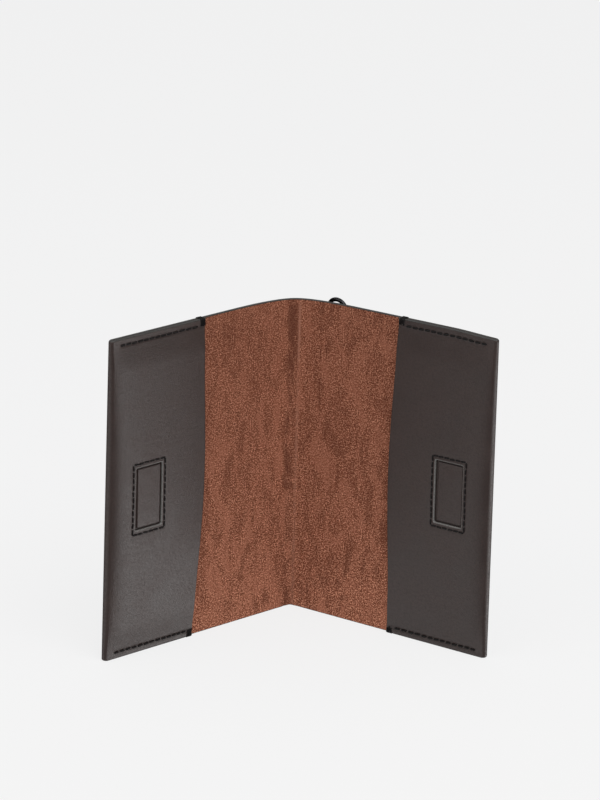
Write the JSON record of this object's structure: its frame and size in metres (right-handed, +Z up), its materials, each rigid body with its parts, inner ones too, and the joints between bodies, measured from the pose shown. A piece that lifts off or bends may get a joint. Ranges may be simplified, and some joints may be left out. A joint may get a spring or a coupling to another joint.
{
  "type": "passport holder wallet",
  "caption": "Leather passport holder that folds like a book, with a suede lining, a sewn pocket flap on each cover, magnets behind stitched windows and a small D-ring on the back.",
  "frame": {"origin": "middle of the spine's bottom edge, on the surface the holder stands on", "axes": "+Z up along the spine, +Y out of the back of the spine, +X towards the right cover as seen from the inside"},
  "size_m": [0.1594, 0.0606, 0.1417],
  "materials": {
    "outer_leather": "smooth fine-grained leather, satin, very dark brown",
    "suede": "brushed brown suede, matt",
    "thread": "black waxed thread",
    "magnet": "nickel-plated magnet",
    "ring_metal": "polished black-plated wire"
  },
  "bodies": {
    "spine": {"spine_leather": "outer_leather", "spine_suede": "suede", "left_spine_crease": "outer_leather", "right_spine_crease": "outer_leather"},
    "left_cover": {"left_cover_panel": "outer_leather", "left_side_fold": "outer_leather", "left_pocket_flap": "outer_leather", "left_suede_lining": "suede", "left_magnet_facing": "outer_leather", "left_magnet": "magnet", "left_magnet_backing": "suede", "left_top_seam": "thread", "left_bottom_seam": "thread", "left_box_stitch": "thread"},
    "right_cover": {"right_cover_panel": "outer_leather", "right_side_fold": "outer_leather", "right_pocket_flap": "outer_leather", "right_suede_lining": "suede", "right_magnet_facing": "outer_leather", "right_magnet": "magnet", "right_magnet_backing": "suede", "right_top_seam": "thread", "right_bottom_seam": "thread", "right_box_stitch": "thread", "ring_tab": "outer_leather", "ring_tab_stitch": "thread"},
    "ring": {"d_ring": "ring_metal"}
  },
  "joints": [
    {"name": "left_cover_fold", "type": "hinge", "parent": "spine", "child": "left_cover", "pos_m": [-0.00435, -0.0009, 0], "axis": [0, 0, 1], "range_deg": [-38, 52], "deforming": ["left_spine_crease"]},
    {"name": "right_cover_fold", "type": "hinge", "parent": "spine", "child": "right_cover", "pos_m": [0.00435, -0.0009, 0], "axis": [0, 0, -1], "range_deg": [-38, 52], "deforming": ["right_spine_crease"]},
    {"name": "d_ring_swing", "type": "hinge", "parent": "right_cover", "child": "ring", "pos_m": [0.01764, -0.00646, 0.13517], "axis": [-0.788, 0.6157, 0], "range_deg": [0, 165]}
  ]
}
